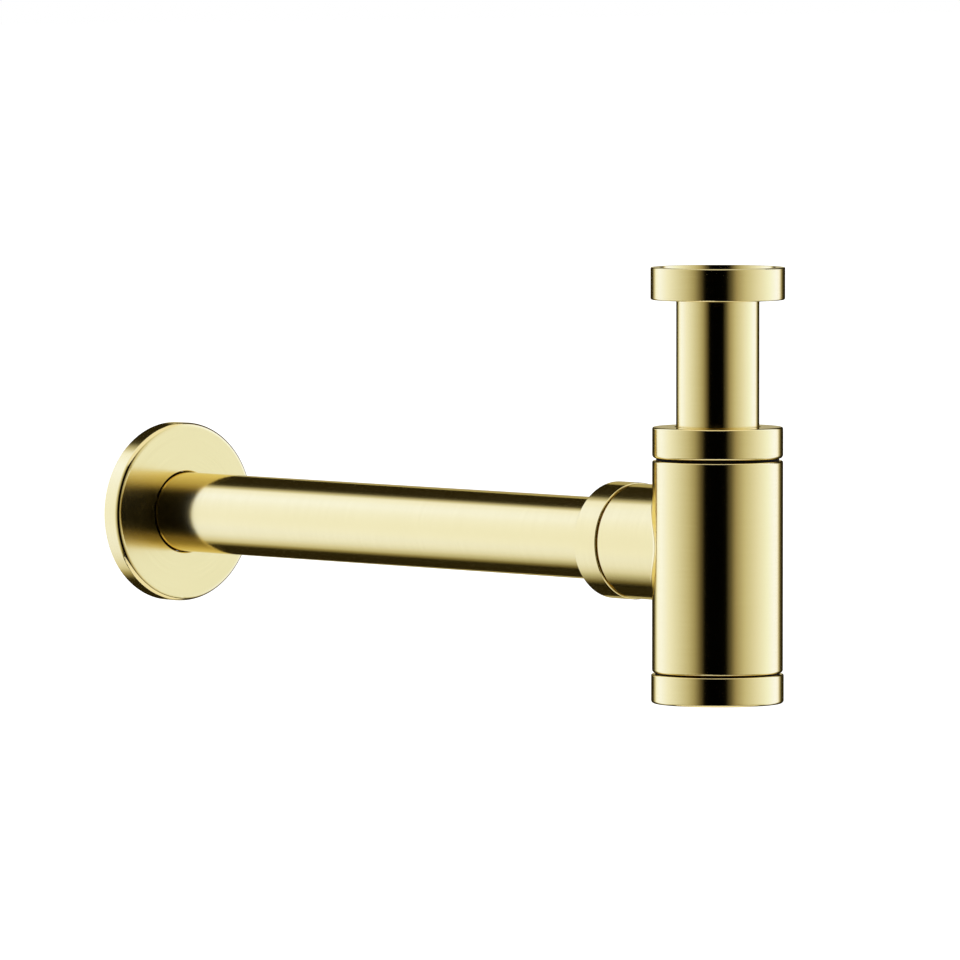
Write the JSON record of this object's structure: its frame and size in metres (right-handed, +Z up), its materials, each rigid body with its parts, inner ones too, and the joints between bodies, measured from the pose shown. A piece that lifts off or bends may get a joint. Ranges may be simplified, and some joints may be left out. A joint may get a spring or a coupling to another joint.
{
  "type": "bottle trap",
  "caption": "Round brass bottle trap for a washbasin, with a swivel inlet nut, screwed base cap, straight wall tube and sliding wall flange.",
  "frame": {"origin": "on the inlet's axis, where the basin waste bears on its washer, at the lower end of the waste nut's thread", "axes": "+Z up the inlet tube, out of the waste nut's mouth; +Y along the wall tube towards the wall; +X completes the right-handed frame"},
  "size_m": [0.072, 0.3638, 0.1676],
  "materials": {
    "brushed_brass": "satin, fine brushed",
    "black_rubber": "matte",
    "white_nylon": "satin"
  },
  "bodies": {
    "inlet": {"inlet_tube": "brushed_brass", "waste_washer": "black_rubber"},
    "top_ring": {"top_slip_ring": "white_nylon"},
    "waste_nut": {"top_nut": "brushed_brass"},
    "neck_seal": {"inlet_seal": "black_rubber"},
    "bottle": {"bottle_shell": "brushed_brass", "side_arm": "brushed_brass", "neck_joint_ring": "black_rubber", "cap_joint_ring": "black_rubber"},
    "neck_ring": {"body_slip_ring": "white_nylon"},
    "neck_nut": {"body_nut": "brushed_brass"},
    "gasket": {"cap_seal": "black_rubber"},
    "cap": {"base_cap": "brushed_brass"},
    "arm_seal": {"outlet_seal": "black_rubber"},
    "tube": {"wall_tube": "brushed_brass"},
    "arm_ring": {"outlet_slip_ring": "white_nylon"},
    "arm_nut": {"outlet_nut": "brushed_brass"},
    "grip_ring": {"flange_ring": "black_rubber"},
    "flange": {"wall_flange": "brushed_brass"}
  },
  "joints": [
    {"name": "top_ring_slide", "type": "slide", "parent": "inlet", "child": "top_ring", "axis": [0, 0, 1], "range_m": [-0.026, 0]},
    {"name": "top_nut_spin", "type": "hinge", "parent": "top_ring", "child": "waste_nut", "pos_m": [0, 0, 0], "axis": [0, 0, 1], "continuous": true},
    {"name": "bottle_height", "type": "slide", "parent": "inlet", "child": "neck_seal", "axis": [0, 0, 1], "range_m": [-0.02, 0.01]},
    {"name": "bottle_swivel", "type": "hinge", "parent": "neck_seal", "child": "bottle", "pos_m": [0, 0, -0.06], "axis": [0, 0, 1], "continuous": true},
    {"name": "neck_nut_travel", "type": "slide", "parent": "bottle", "child": "neck_ring", "axis": [0, 0, 1], "range_m": [0, 0.008]},
    {"name": "neck_nut_turn", "type": "hinge", "parent": "neck_ring", "child": "neck_nut", "pos_m": [0, 0, -0.06], "axis": [0, 0, 1], "range_deg": [0, 1440]},
    {"name": "cap_travel", "type": "slide", "parent": "bottle", "child": "gasket", "axis": [0, 0, 1], "range_m": [-0.008, 0]},
    {"name": "cap_turn", "type": "hinge", "parent": "gasket", "child": "cap", "pos_m": [0, 0, -0.155], "axis": [0, 0, 1], "range_deg": [-1440, 0]},
    {"name": "wall_tube_turn", "type": "hinge", "parent": "bottle", "child": "arm_seal", "pos_m": [0, 0.05, -0.10035], "axis": [0, 1, 0], "continuous": true},
    {"name": "wall_tube_slide", "type": "slide", "parent": "arm_seal", "child": "tube", "axis": [0, 1, 0], "range_m": [-0.008, 0.018]},
    {"name": "arm_nut_travel", "type": "slide", "parent": "bottle", "child": "arm_ring", "axis": [0, 1, 0], "range_m": [0, 0.008]},
    {"name": "arm_nut_turn", "type": "hinge", "parent": "arm_ring", "child": "arm_nut", "pos_m": [0, 0.05, -0.10035], "axis": [0, 1, 0], "range_deg": [0, 1440]},
    {"name": "flange_slide", "type": "slide", "parent": "tube", "child": "grip_ring", "axis": [0, 1, 0], "range_m": [-0.22, 0]},
    {"name": "flange_turn", "type": "hinge", "parent": "grip_ring", "child": "flange", "pos_m": [0, 0.32, -0.10035], "axis": [0, 1, 0], "continuous": true}
  ],
  "couplings": [
    {"joint": "neck_nut_turn", "follows": "neck_nut_travel", "rad_per_m": 3141.6},
    {"joint": "cap_turn", "follows": "cap_travel", "rad_per_m": 3141.6},
    {"joint": "arm_nut_turn", "follows": "arm_nut_travel", "rad_per_m": 3141.6}
  ]
}
